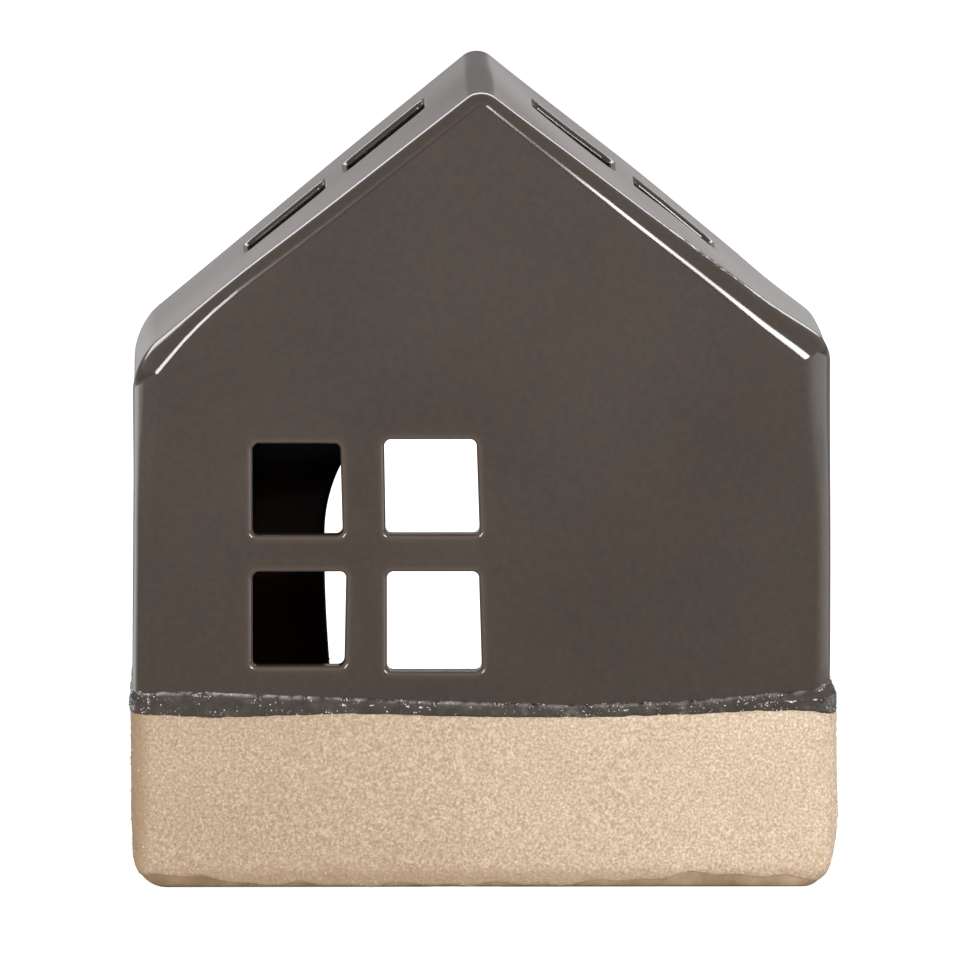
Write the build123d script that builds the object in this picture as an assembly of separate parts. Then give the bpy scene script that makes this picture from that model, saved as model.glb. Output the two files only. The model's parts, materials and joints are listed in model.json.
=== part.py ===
from build123d import *
import os
from math import atan2, cos, hypot, sin

# Tealight house in glazed stoneware, in millimetres.
# The front faces -Y, +Z is up, and the origin is the middle of the underside.

# Clay body, measured over the bare clay
body_width = 108.0
body_depth = 67.4
ridge_height = 125.9
wall_height = 82.4
wall_thickness = 4.5

# Rounded corners of the body: the front outline, then its edges all round
foot_radius = 6.5
eave_radius = 9.0
peak_radius = 4.2
edge_radius = 3.0
bevel_share = 0.586
inner_radius = 1.5

# Coats on the clay
glaze_thickness = 0.3
sand_thickness = 1.0
sand_foot = 1.6
sand_top = 28.8
lap_overlap = 1.5
lap_rise = 1.4
lap_shoulder = 0.7

# Four window panes at the left of the front, clear sizes inside the glaze
pane_width = 14.6
pane_height = 14.8
pane_column_pitch = 20.9
pane_row_pitch = 20.7
pane_corner_radius = 1.2
panes_across_share = -0.166
panes_up_share = 0.633

# Two vents in each roof slope, clear sizes inside the glaze
vent_length = 15.4
vent_depth = 15.2
vent_corner_radius = 1.4
vent_down_slope_shares = (0.273, 0.563)
vent_back_share = 0.096

# Arched opening in the back wall, where the tealight goes in
arch_width = 48.0
arch_spring_height = 49.0

# Soft rims of the openings, and how far one may go in its coat before it meets the clay
rim_bevel = 0.45
rim_limit_share = 1.8

# Tealight cup of thin aluminium
cup_diameter = 38.0
cup_height = 15.4
cup_wall = 0.4
cup_pleat_count = 28
cup_pleat_depth = 0.35
cup_foot_height = 1.6
cup_foot_bevel = 0.3
cup_rim_height = 1.2
cup_rim_reach = 0.55
cup_seat_gap = 0.2
cup_back_share = 0.03

# Candle: wax, wick and the tin foot that holds the wick
wax_height = 12.0
wax_side_gap = 0.35
wax_seat_gap = 0.15
wax_edge_bevel = 0.6
wick_diameter = 1.7
wick_side_count = 8
wick_rise = 6.4
wick_lean = 1.3
wick_bend_share = 0.45
wick_bend_radius = 4.0
wick_fit_gap = 0.05
tin_diameter = 12.5
tin_thickness = 0.35
tin_collar_height = 3.2
tin_fit_gap = 0.06

# Every cut runs this far past the face that it leaves
cut_overrun = 2.0

# Sizes that follow from the ones above
half_width = body_width / 2
half_depth = body_depth / 2
roof_rise = ridge_height - wall_height
slope_length = hypot(half_width, roof_rise)
slope_angle = atan2(roof_rise, half_width)
floor_top = wall_thickness + glaze_thickness
lap_thickness = sand_thickness + glaze_thickness
lap_low = sand_top - lap_overlap
lap_high = sand_top + lap_rise
cut_depth = wall_thickness + lap_thickness + cut_overrun
cup_base = floor_top + cup_seat_gap
cup_y = body_depth * cup_back_share
wax_base = cup_base + cup_wall + wax_seat_gap
cup_radius = cup_diameter / 2
wax_radius = cup_radius - cup_pleat_depth - cup_wall - wax_side_gap
collar_radius = wick_diameter / 2 + wick_fit_gap + tin_thickness
on_base = (Align.CENTER, Align.CENTER, Align.MIN)


def grown_radius(radius, grow):
    """A corner radius of the body, followed outwards or inwards."""
    return max(radius + grow, inner_radius)


def house_outline(grow):
    """The front outline, with every side moved out by grow."""
    side = half_width + grow
    ridge = ridge_height + grow / cos(slope_angle)
    eave = ridge - side * roof_rise / half_width
    corners = [(-side, -grow), (side, -grow), (side, eave), (0, ridge), (-side, eave)]
    foot = grown_radius(foot_radius, grow)
    eaves = grown_radius(eave_radius, grow)
    peak = grown_radius(peak_radius, grow)
    return FilletPolyline(*corners, radius=[foot, foot, eaves, peak, eaves], close=True)


def house_block(grow):
    """A straight-sided house, every face moved out by grow."""
    face = Plane.XZ * make_face(house_outline(grow))
    return extrude(face, amount=half_depth + grow, both=True)


def end_edges(block):
    """The edges round the front and the back of a house."""
    ends = block.faces().filter_by(Axis.Y).sort_by(Axis.Y)
    return ends[0].edges() + ends[-1].edges()


def clay_form():
    """The clay outside, with a scraped bevel that stays inside the soft coats."""
    block = house_block(0)
    return chamfer(end_edges(block), length=edge_radius * bevel_share)


def coat_form(grow):
    """The outside of a coat, with soft edges round its front and back."""
    block = house_block(grow)
    return fillet(end_edges(block), radius=edge_radius + grow)


def pane_centres():
    """The middles of the four window panes, across and up."""
    across = body_width * panes_across_share
    up = wall_height * panes_up_share
    steps = (-pane_column_pitch / 2, pane_column_pitch / 2)
    rises = (-pane_row_pitch / 2, pane_row_pitch / 2)
    return [(across + step, up + rise) for step in steps for rise in rises]


def pane_cuts(margin):
    """Cuts for the window panes, each margin wider than the clear pane."""
    width = pane_width + 2 * margin
    height = pane_height + 2 * margin
    radius = pane_corner_radius + margin
    front = -half_depth + wall_thickness / 2
    cuts = []
    for across, up in pane_centres():
        plane = Plane(origin=(across, front, up), x_dir=(1, 0, 0), z_dir=(0, -1, 0))
        shape = plane * RectangleRounded(width, height, radius)
        cuts.append(extrude(shape, amount=cut_depth, both=True))
    return cuts


def vent_planes():
    """A plane on the clay at the middle of each roof vent, facing out."""
    planes = []
    for side in (-1, 1):
        normal = (side * sin(slope_angle), 0, cos(slope_angle))
        down = (side * cos(slope_angle), 0, -sin(slope_angle))
        for share in vent_down_slope_shares:
            along = slope_length * share
            middle = (down[0] * along, body_depth * vent_back_share, ridge_height + down[2] * along)
            planes.append(Plane(origin=middle, x_dir=down, z_dir=normal))
    return planes


def vent_cuts(margin):
    """Cuts for the roof vents, each margin wider than the clear vent."""
    length = vent_length + 2 * margin
    depth = vent_depth + 2 * margin
    radius = vent_corner_radius + margin
    shape = RectangleRounded(length, depth, radius)
    return [extrude(plane * shape, amount=cut_depth, both=True) for plane in vent_planes()]


def arch_cut(margin):
    """The cut for the back arch, margin wider than the clear arch."""
    radius = arch_width / 2 + margin
    sill = floor_top - margin
    leg = arch_spring_height - sill
    leg_shape = Pos(0, sill + leg / 2) * Rectangle(2 * radius, leg)
    shape = leg_shape + Pos(0, arch_spring_height) * Circle(radius)
    middle = half_depth - wall_thickness / 2
    plane = Plane(origin=(0, middle, 0), x_dir=(1, 0, 0), z_dir=(0, -1, 0))
    return extrude(plane * shape, amount=cut_depth, both=True)


def pierced(form, lining, margin):
    """Hollows a house, its inside moved in by lining, and cuts its panes, vents and arch."""
    hollow = form - house_block(-wall_thickness - lining)
    return hollow - pane_cuts(margin) - vent_cuts(margin) - arch_cut(margin)


def outer_flats(form):
    """The flat outsides that the openings go through: front, back and both roof slopes."""
    directions = [(0, -1, 0), (0, 1, 0)]
    directions += [(side * sin(slope_angle), 0, cos(slope_angle)) for side in (-1, 1)]
    axes = [Axis((0, 0, 0), direction) for direction in directions]
    return [form.faces().filter_by(axis).sort_by(axis)[-1] for axis in axes]


def soft_rims(form, grow):
    """Bevels the rim of each opening on the outside of a coat."""
    rims = []
    for face in outer_flats(form):
        for wire in face.inner_wires():
            rims += wire.edges()
    return chamfer(rims, length=min(rim_bevel, grow * rim_limit_share))


def height_band(low, high):
    """A slab of space between two heights, wider than the house."""
    reach = body_width + body_depth
    return Pos(0, 0, (low + high) / 2) * Box(reach, reach, high - low)


def stoneware_body():
    """The one-piece cast clay house, with its floor."""
    return pierced(clay_form(), 0, glaze_thickness)


def sand_coat(clay):
    """The rough sand slip round the foot of the house."""
    coat = soft_rims(pierced(coat_form(sand_thickness), 0, glaze_thickness), sand_thickness)
    return (coat - clay) & height_band(sand_foot, sand_top)


def glaze_lap(sand):
    """The thick edge of the glaze, which laps over the top of the sand."""
    slab = (coat_form(lap_thickness) & height_band(lap_low, lap_high)) - arch_cut(glaze_thickness)
    flats = slab.faces().filter_by(Axis.Z).sort_by(Axis.Z)
    slab = chamfer(flats[-1].edges(), length=min(lap_shoulder, sand_thickness))
    return slab - clay_form() - sand


def inside_glaze():
    """The glaze poured over the inside walls and the floor."""
    lining = house_block(-wall_thickness) - house_block(-floor_top)
    cuts = pane_cuts(glaze_thickness) + vent_cuts(glaze_thickness) + [arch_cut(glaze_thickness)]
    return lining - cuts


def grey_glaze(clay, sand):
    """The glossy glaze, inside and out, lining every rim, with its lap."""
    form = pierced(coat_form(glaze_thickness), glaze_thickness, 0)
    coat = soft_rims(form, glaze_thickness) - clay
    upper = coat & height_band(sand_top, ridge_height + cut_overrun + glaze_thickness)
    return upper + inside_glaze() + glaze_lap(sand)


def pleated_wall(radius, height):
    """A prism whose side is folded into pleats, standing on its base."""
    step = 180 / cup_pleat_count
    ridge_points = [Vector(radius, 0).rotate(Axis.Z, 2 * step * n) for n in range(cup_pleat_count)]
    valley = radius - cup_pleat_depth
    valley_points = [Vector(valley, 0).rotate(Axis.Z, 2 * step * n + step) for n in range(cup_pleat_count)]
    points = [point for pair in zip(ridge_points, valley_points) for point in pair]
    return extrude(make_face(Polyline(*points, close=True)), amount=height)


def tealight_cup():
    """The drawn aluminium cup: plain foot, pleated side, rolled rim, open top."""
    foot_radius_outside = cup_radius - cup_pleat_depth
    well_radius = foot_radius_outside - cup_wall
    foot = Cylinder(foot_radius_outside, cup_foot_height, align=on_base)
    bevel = min(cup_foot_bevel, cup_wall * bevel_share)
    foot = chamfer(foot.edges().group_by(Axis.Z)[0], length=bevel)
    side_height = cup_height - cup_foot_height
    side = Pos(0, 0, cup_foot_height) * pleated_wall(cup_radius, side_height)
    inner = Pos(0, 0, cup_foot_height) * pleated_wall(cup_radius - cup_wall, side_height)
    rim_low = cup_height - cup_rim_height
    rim_points = (
        (well_radius, rim_low),
        (cup_radius, rim_low),
        (cup_radius + cup_rim_reach, rim_low + cup_rim_height / 2),
        (cup_radius, cup_height),
        (well_radius, cup_height),
    )
    rim = revolve(Plane.XZ * make_face(Polyline(*rim_points, close=True)), axis=Axis.Z)
    well = Pos(0, 0, cup_wall) * Cylinder(well_radius, cup_height, align=on_base)
    return Pos(0, cup_y, cup_base) * (foot + side - inner + rim - well)


def tealight_wax():
    """The wax, with its hole for the wick and its pocket for the tin."""
    wax = Cylinder(wax_radius, wax_height, align=on_base)
    wax = chamfer(wax.edges().group_by(Axis.Z)[-1], length=wax_edge_bevel)
    plate = Cylinder(tin_diameter / 2 + tin_fit_gap, tin_thickness + tin_fit_gap, align=on_base)
    collar = Cylinder(collar_radius + tin_fit_gap, tin_collar_height + tin_fit_gap, align=on_base)
    hole = Cylinder(wick_diameter / 2 + wick_fit_gap, wax_height, align=on_base)
    return Pos(0, cup_y, wax_base) * (wax - plate - collar - hole)


def wick_sustainer():
    """The tin foot: a thin disc with a collar crimped round the wick."""
    disc = Cylinder(tin_diameter / 2, tin_thickness, align=on_base)
    collar = Cylinder(collar_radius, tin_collar_height, align=on_base)
    bore = Cylinder(wick_diameter / 2 + wick_fit_gap, tin_collar_height, align=on_base)
    return Pos(0, cup_y, wax_base) * (disc + collar - bore)


def tealight_wick():
    """The wick, straight through the wax and leaning above it."""
    bend = wax_height + wick_rise * wick_bend_share
    tip = wax_height + wick_rise
    route = FilletPolyline((0, 0, 0), (0, 0, bend), (wick_lean, 0, tip), radius=wick_bend_radius)
    section = RegularPolygon(radius=wick_diameter / 2, side_count=wick_side_count)
    wick = sweep(Plane.XY * section, path=route)
    return Pos(0, cup_y, wax_base) * wick


def main():
    os.makedirs("parts", exist_ok=True)
    clay = stoneware_body()
    sand = sand_coat(clay)
    pieces = {
        "stoneware_body": clay,
        "sand_coat": sand,
        "grey_glaze": grey_glaze(clay, sand),
        "tealight_cup": tealight_cup(),
        "tealight_wax": tealight_wax(),
        "tealight_wick": tealight_wick(),
        "wick_sustainer": wick_sustainer(),
    }
    for name, piece in pieces.items():
        export_step(piece, f"parts/{name}.step")
        size = piece.bounding_box().size
        print(name, round(piece.volume, 1), [round(side, 2) for side in size])


main()
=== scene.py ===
import json
from math import atan2, cos, hypot, pi, radians, sin

import bmesh
import bpy
import numpy as np
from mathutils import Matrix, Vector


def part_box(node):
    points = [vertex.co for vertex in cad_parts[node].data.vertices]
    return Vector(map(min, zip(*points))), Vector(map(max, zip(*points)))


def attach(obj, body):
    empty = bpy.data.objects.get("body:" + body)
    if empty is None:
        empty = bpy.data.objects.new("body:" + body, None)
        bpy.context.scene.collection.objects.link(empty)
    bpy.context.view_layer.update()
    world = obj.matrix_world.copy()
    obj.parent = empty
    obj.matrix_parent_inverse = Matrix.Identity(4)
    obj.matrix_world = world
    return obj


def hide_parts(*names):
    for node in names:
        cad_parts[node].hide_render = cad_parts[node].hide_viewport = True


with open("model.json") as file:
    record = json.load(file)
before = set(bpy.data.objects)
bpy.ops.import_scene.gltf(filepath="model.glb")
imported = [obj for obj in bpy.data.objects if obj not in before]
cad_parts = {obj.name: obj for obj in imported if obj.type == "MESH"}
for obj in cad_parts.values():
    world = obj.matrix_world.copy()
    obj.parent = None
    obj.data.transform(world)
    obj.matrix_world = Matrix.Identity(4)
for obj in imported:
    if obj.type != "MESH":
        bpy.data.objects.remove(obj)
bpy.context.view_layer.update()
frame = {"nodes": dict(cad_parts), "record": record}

import openvdb
from mathutils import Matrix, Vector

# Tealight house in glazed stoneware with a sand-coated foot. The clay forms are worked out in
# millimetres as distance fields, below zero inside the clay, and meshed in metres.
mm = 0.001

# Sizes of the clay body, from the frame
sand_low = np.array(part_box("sand_coat")[0]) / mm
glaze_high = np.array(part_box("grey_glaze")[1]) / mm
half_width, half_depth = (np.array(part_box("stoneware_body")[1]) / mm)[:2]
glaze_coat = 0.3
wall = 4.5
wall_height = 82.4
ridge_height = 125.9
slope_angle = atan2(ridge_height - wall_height, half_width)
slope_length = hypot(ridge_height - wall_height, half_width)
floor_top = wall + glaze_coat

# Rounded corners of the outline, as reaches from the corner: eaves and foot left and right, the
# peak, then the hollow's eaves, peak and foot, and the rims of the openings
eave_reaches, foot_reaches = (3.3, 1.9), (4.8, 4.5)
foot_change = (-10, 10)
peak_reach = 2.6
inner_reaches = (1.6, 1.3, 2.0)
rim_reach = 0.85

# Rounding of the front edge: along the roof from left to right, along the walls, at the foot,
# and the heights over which one changes into the next
edge_places = (-53.0, -51.0, -49.5, -48.0, -46.5, -44.5, -42.0, -38.0, -20.0, 0.0, 20.0, 35.0,
               42.0, 46.0, 49.0, 53.0)
edge_rounds = (5.2, 4.5, 3.95, 3.45, 3.0, 2.6, 2.3, 2.1, 2.1, 2.1, 2.7, 3.4, 3.7, 4.0, 4.4, 5.1)
wall_round, foot_round, back_round = 2.6, 1.0, 3.0
foot_to_wall, wall_to_roof = (0, 9), (56, 84)

# Hand-made differences from the true form: front then back, left then right
eave_lifts = ((-0.45, 0.8), (-0.95, 0.0))
ridge_lifts = (-0.85, 0.35)
wall_swells, swell_heights = (0.0, 0.3), (24, 36)
back_narrowing = 0.4
wobble_depth = 0.07

# Swells of the roof slopes: side, end (0 front, 1 back), distance from the ridge, spread, height
slope_swells = (
    (-1, 0, 40.0, 11.0, 0.5),
    (1, 0, 38.0, 14.0, 0.45),
    (1, 0, 54.0, 7.0, 1.35),
    (1, 1, 27.0, 9.0, 0.35),
    (1, 1, 46.0, 5.0, -0.3),
)

# Window panes: how far each clear edge lies from its true place (left, right, bottom, top),
# and how far the left and right edges lean outwards to the bottom
pane_nudges = {
    "upper_left": (0.0, -0.7, 0.1, -0.3, 0.0, 0.4),
    "upper_right": (-0.2, -0.3, 0.2, 0.3, -0.25, 0.5),
    "lower_left": (0.0, -0.1, 0.3, 0.3, 0.0, -0.3),
    "lower_right": (0.1, 0.05, -0.5, 0.3, 0.0, 0.45),
}
pane_size = (14.6, 14.8)
pane_corner = 1.0

# Roof vents, placed by their share of the slope's length
vent_size = (15.4, 15.2)
vent_corner = 1.4
vent_rim_reach = 0.85
vent_shares = {"upper": 0.273, "lower": 0.563}

# Arch in the back wall, and how far below its spring it draws in
arch_radius = 24.0
arch_spring = 49.0
arch_narrowing, narrowing_depths = 2.0, (4, 44)

# Glaze lap: heights of its lower and upper edge along the front, from left to right, then its
# thickness at the left and right wall, its roundings, how deep it is rooted in the clay, how much
# of its lumps it loses towards its upper edge, and how much of them its edges take up
lap_places = (-54.0, -42.0, -31.0, -20.0, -2.5, 14.5, 31.0, 44.0, 52.0, 54.5)
lap_lows = (27.3, 26.7, 27.0, 27.3, 26.8, 26.6, 27.1, 27.7, 27.5, 27.0)
lap_highs = (31.0, 30.9, 30.4, 29.9, 29.3, 28.8, 29.3, 30.5, 31.2, 32.8)
lap_low_behind, lap_high_behind = 27.2, 29.4
lap_left, lap_right = 0.72, 1.4
lap_reach, lap_doorway_reach = 0.45, 0.4
lap_root = 0.6
calm_share, edge_share = 0.5, 0.3

# Sand slip: thickness at the left and right wall, how it thins towards the foot, its rounding and
# root, how much thinner it is under the lap and where that sets in about the lap's lower edge,
# and how high above the table it ends, where the foot is worn bare
sand_left, sand_right = 0.4, 1.4
sand_least, sand_fade = 0.12, (-0.6, 11.0)
sand_reach, sand_root = 0.4, 0.5
lap_cover, cover_start, cover_end = 0.45, -0.2, 0.5
worn_places = (-54.0, -49.0, -43.0, -34.0, -20.0, 14.0, 24.0, 33.0, 42.0, 50.0, 54.0)
worn_heights = (2.2, 2.1, 1.2, 0.5, 0.2, 0.4, 1.1, 2.0, 1.9, 1.2, 0.9)

# Lumps of each surface, as pairs of size and height, and the lattice they come from: its values
# along a side, and the shift that keeps every place in it above zero
lap_lumps = ((2.6, 0.13), (1.1, 0.12))
sand_lumps = ((0.95, 0.12), (2.3, 0.09))
clay_lumps = ((1.4, 0.05),)
lattice_side, lattice_shift = 48, 100

# The glazed lining's thickness, how far the bare clay lies behind its face and how high it goes
# under the lap, how the sand and the clay stand back and round over in the doorway, and the
# rounding of edges that hardly show
lining = 1.0
clay_inset, clay_top = 0.9, 28.5
sand_back, clay_back, doorway_reach = 0.1, 0.25, 0.5
least_reach = 0.3


def opening(name):
    """The lowest and highest corner of an opening in the record, in millimetres."""
    found = [row for row in frame["record"]["physics"]["openings"] if row["name"] == name][0]
    return np.array(found["box_m"]) / mm


def round_max(a, b, reach):
    """The part inside both fields, its outer corner rounded."""
    corner = np.hypot(np.maximum(a + reach, 0), np.maximum(b + reach, 0))
    return np.minimum(np.maximum(a, b), -reach) + corner


def ease(value, low, high):
    """0 below low and 1 above high, smooth between."""
    share = np.clip((value - low) / (high - low), 0, 1)
    return share * share * (3 - 2 * share)


def mix(a, b, share):
    """From a to b by a share."""
    return a + (b - a) * share


def bell(value, middle, spread):
    """1 at the middle, falling smoothly to 0 a few spreads away."""
    return np.exp(-((value - middle) / spread) ** 2)


def wobble(x, y, z):
    """The slow unevenness of a hand-finished clay face."""
    waves = np.sin(0.083 * x + 0.051 * z + 0.9) + np.sin(0.064 * z - 0.071 * y + 2.1)
    return wobble_depth * (waves + np.sin(0.14 * x - 0.118 * z + 0.1 * y))


def noise_lattice(seed):
    """Random values for the lumps of one surface."""
    return np.random.default_rng(seed).random((lattice_side,) * 3).astype(np.float32)


def lumps(x, y, z, size, lattice):
    """Smooth random lumps of one size, from -1 to 1."""
    count = lattice.shape[0]
    cells, shares = [], []
    for place in (x, y, z):
        scaled = np.asarray(place / size + lattice_shift, np.float32)
        base = np.floor(scaled)
        share = scaled - base
        cells.append(base.astype(np.int64) % count)
        shares.append(share * share * (3 - 2 * share))
    total = 0
    for corner in range(8):
        picks = [(cells[axis] + (corner >> axis & 1)) % count for axis in range(3)]
        weights = [shares[axis] if corner >> axis & 1 else 1 - shares[axis] for axis in range(3)]
        total = total + lattice[picks[0], picks[1], picks[2]] * weights[0] * weights[1] * weights[2]
    return total * 2 - 1


def rough_skin(x, y, z, sizes, lattice):
    """Lumps of several sizes and heights added up."""
    return sum(lumps(x, y, z, size, lattice) * height for size, height in sizes)


def end_rounding(x, z, back):
    """How far the rounding between the walls and the front or back face reaches."""
    upper = np.interp(x, edge_places, edge_rounds)
    front = mix(wall_round, upper, ease(z, *wall_to_roof))
    front = mix(foot_round, front, ease(z, *foot_to_wall))
    return mix(front, back_round, back)


def house(x, y, z, grow, eaves, peak, foot, end):
    """The whole house without its hollow, every face moved out by grow."""
    back = np.clip((y + half_depth) / (2 * half_depth), 0, 1)
    ridge = ridge_height + mix(*ridge_lifts, back)
    sides = []
    for index, side in enumerate((-1, 1)):
        lift = mix(eave_lifts[0][index], eave_lifts[1][index], back)
        rise = ridge - wall_height - lift
        slope = (side * x * rise + (z - ridge) * half_width) / np.hypot(rise, half_width)
        for swell_side, at_back, place, spread, height in slope_swells:
            if swell_side == side:
                share = back if at_back else 1 - back
                slope = slope - height * share * bell(side * x, place, spread)
        swell = wall_swells[index] * ease(z, *swell_heights)
        upright = side * x - half_width - swell + back_narrowing * back
        sides.append(round_max(upright - grow, slope - grow, eaves[index]))
    outline = round_max(sides[0], sides[1], peak)
    outline = round_max(outline, -z - min(grow, 0), foot)
    return round_max(outline, abs(y) - half_depth - grow, end)


def outside(x, y, z):
    """The bare clay outside."""
    back = np.clip((y + half_depth) / (2 * half_depth), 0, 1)
    end = end_rounding(x, z, back)
    foot = mix(*foot_reaches, ease(x, *foot_change))
    return house(x, y, z, 0, eave_reaches, peak_reach, foot, end) + wobble(x, y, z)


def hollow(x, y, z):
    """The space inside the glazed walls and floor."""
    eave, peak, foot = inner_reaches
    return house(x, y, z, -floor_top, (eave, eave), peak, foot, foot) + wobble(y, x, z)


def pane(x, z, name):
    """One window pane seen from the front."""
    low, high = opening(name + "_window_pane")
    middle_x, middle_z = (low[0] + high[0]) / 2, (low[2] + high[2]) / 2
    left, right, bottom, top, lean_left, lean_right = pane_nudges[name]
    down = (middle_z - z) / pane_size[1]
    left_edge = middle_x - pane_size[0] / 2 + left - lean_left * down
    right_edge = middle_x + pane_size[0] / 2 + right + lean_right * down
    across = np.maximum(left_edge - x, x - right_edge)
    up = np.maximum(middle_z - pane_size[1] / 2 + bottom - z, z - middle_z - pane_size[1] / 2 - top)
    return round_max(across, up, pane_corner)


def vent(x, y, z, level, side):
    """One roof vent, cut square to its slope."""
    low, high = opening(("left_" if side < 0 else "right_") + level + "_roof_vent")
    along = side * x * cos(slope_angle) + (ridge_height - z) * sin(slope_angle)
    above = side * x * sin(slope_angle) + (z - ridge_height) * cos(slope_angle)
    across = abs(y - (low[1] + high[1]) / 2) - vent_size[1] / 2
    along = abs(along - vent_shares[level] * slope_length) - vent_size[0] / 2
    return np.maximum(round_max(along, across, vent_corner), abs(above) - 2 * wall)


def arch(x, y, z):
    """The arched opening in the back wall."""
    narrowing = arch_narrowing * ease(arch_spring - z, *narrowing_depths)
    crown = np.hypot(x, np.maximum(z - arch_spring, 0)) - arch_radius + narrowing
    shape = round_max(crown, floor_top - z, rim_reach)
    return np.maximum(shape, half_depth - wall - 2 * rim_reach - y)


def wall_openings(x, y, z):
    """The window panes and the arch."""
    panes = pane(x, z, "upper_left")
    for name in ("upper_right", "lower_left", "lower_right"):
        panes = np.minimum(panes, pane(x, z, name))
    return np.minimum(np.maximum(panes, y), arch(x, y, z))


def roof_openings(x, y, z):
    """The vents through the roof."""
    left = np.minimum(vent(x, y, z, "upper", -1), vent(x, y, z, "lower", -1))
    return np.minimum(left, np.minimum(vent(x, y, z, "upper", 1), vent(x, y, z, "lower", 1)))


def along_front(x):
    """0 at the left wall and 1 at the right wall."""
    return np.clip(x / (2 * half_width) + 0.5, 0, 1)


def lap_heights(x, y):
    """Heights of the lower and the upper edge of the glaze lap at a place on the walls."""
    behind = ease(y, -half_depth, -half_depth / 2)
    wave = np.sin(0.19 * x + 0.27 * y + 0.8) + 0.6 * np.sin(0.47 * x - 0.31 * y)
    low = mix(np.interp(x, lap_places, lap_lows), lap_low_behind + 0.3 * wave, behind)
    high = mix(np.interp(x, lap_places, lap_highs), lap_high_behind + 0.5 * wave, behind)
    return low, high


def glazed_house(x, y, z):
    """The glazed walls and roof above the lap, with the glazed lining below it."""
    inside = hollow(x, y, z)
    skin = outside(x, y, z)
    shell = round_max(skin - glaze_coat, -inside, rim_reach)
    shell = round_max(shell, -wall_openings(x, y, z), rim_reach)
    shell = round_max(shell, -roof_openings(x, y, z), vent_rim_reach)
    below = round_max(inside - lining, skin + lining, least_reach)
    low, high = lap_heights(x, y)
    return np.maximum(shell, np.minimum((low + high) / 2 - z, below))


lap_lattice = noise_lattice(11)
sand_lattice = noise_lattice(23)


def glaze_lap(x, y, z):
    """The thick lumpy edge where the glaze laps over the sand."""
    low, high = lap_heights(x, y)
    bulk = rough_skin(x, y, z, lap_lumps, lap_lattice)
    middle, half_height = (low + high) / 2, (high - low) / 2
    upper = ease(z, middle, high + least_reach)
    proud = mix(lap_left, lap_right, along_front(x))
    skin = outside(x, y, z)
    face = skin - proud - bulk * (1 - calm_share * upper) + (proud - glaze_coat) * upper
    slab = round_max(abs(z - middle) - half_height - edge_share * bulk, face, lap_reach)
    return round_max(np.maximum(slab, -skin - lap_root), -arch(x, y, z), lap_doorway_reach)


def worn_edge(x, y):
    """The height at which the sand ends above the table, where the foot is worn bare."""
    ragged = 0.25 * np.sin(0.41 * x + 0.3) + 0.2 * np.sin(0.83 * x - 0.37 * y)
    return np.interp(x, worn_places, worn_heights) + ragged


def sand_slip(x, y, z):
    """The rough sand slip round the foot."""
    low, high = lap_heights(x, y)
    thickness = mix(sand_left, sand_right, along_front(x)) * ease(z, *sand_fade) + sand_least
    thickness = thickness - lap_cover * ease(z, low + cover_start, low + cover_end)
    rough = rough_skin(x, y, z, sand_lumps, sand_lattice)
    clay = outside(x, y, z)
    coat = round_max(clay - thickness - rough, worn_edge(x, y) - z, sand_reach)
    coat = np.maximum(np.maximum(coat, z - (low + high) / 2), -clay - sand_root)
    return round_max(coat, -arch(x, y, z) + sand_back, doorway_reach)


def bare_clay(x, y, z):
    """The clay of the lower walls and the floor, bare at the foot and in the doorway."""
    grain = rough_skin(x, y, z, clay_lumps, sand_lattice)
    shell = round_max(outside(x, y, z) - grain, clay_inset - hollow(x, y, z), least_reach)
    cut = round_max(shell, clay_back - arch(x, y, z), doorway_reach)
    return np.maximum(np.maximum(cut, z - clay_top), -z)


# Painted shade inside the walls and the roof vents: how deep behind the glaze's face it starts
# and is full, in the walls and in the vents, and the heights between which one gives way to the other
painted_shade_starts, painted_shade_fulls, painted_shade_change = (2.8, 0.3), (4.4, 1.7), (80, 86)

# Rubbed place at the front edge of the right slope: middle and spread along x and y, how it
# begins behind the edge, and its height
scuff_x, scuff_y = (36.5, 6.0), (-31.2, 1.5)
scuff_start, scuff_heights = (-33.1, -32.3), (86, 90)

# Warm glaze round a rim, and the frosted line under the lap's upper edge: how wide each is, how
# far below the edge the line lies, and how strong it is at the left and the right
warm_width = 0.7
frost_width, frost_drop = 0.25, 0.35
frost_shares, frost_change = (0.8, 0.4), (-30, 10)

# Loose sand: the share left at the toasted left end, where that ends, and how the grains begin
# above the table and above the worn edge and end below the lap
toasted_share, toasted_end = 0.1, (-54, -50)
grains_above_table, grains_above_worn, grains_below_lap = (0.4, 0.8), (0.2, 0.9), (0.4, 0.1)

# Grains in the lap: size of a cluster, how far inside the upper and the lower edge a line of them
# lies and how wide it is, and how thinly they lie in the lower line and elsewhere
cluster_size, cluster_limits = 2.9, (-0.6, 0.4)
upper_line, upper_width, lower_line, lower_width = 0.5, 0.4, 0.7, 0.6
lower_line_share, elsewhere_share = 0.25, 0.2

# Over which distances from the bare clay's face outwards grains begin: on the sand, in the lap
sand_face, lap_face = (-0.1, 0.2), (0.0, 0.2)


def painted_shade_marks(x, y, z):
    """Painted shade on the glaze inside the walls and vents, where shade falls: none outside, and
    sooner in the roof vents.
    """
    roof = ease(z, *painted_shade_change)
    return ease(glaze_coat - outside(x, y, z), mix(*painted_shade_starts, roof), mix(*painted_shade_fulls, roof))


def rim_marks(x, y, z):
    """How near a pane's rim is, where the glaze runs thin and warm."""
    return bell(wall_openings(x, y, z), 0.0, warm_width)


def scuff_marks(x, y, z):
    """Where the glaze is rubbed, at the front edge of the right slope."""
    return bell(x, *scuff_x) * bell(y, *scuff_y) * ease(y, *scuff_start) * ease(z, *scuff_heights)


def frost_marks(x, y, z):
    """The thin frosted line along the upper edge of the lap, stronger at the left."""
    strength = mix(*frost_shares, ease(x, *frost_change))
    return bell(z, lap_heights(x, y)[1] - frost_drop, frost_width) * strength


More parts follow.
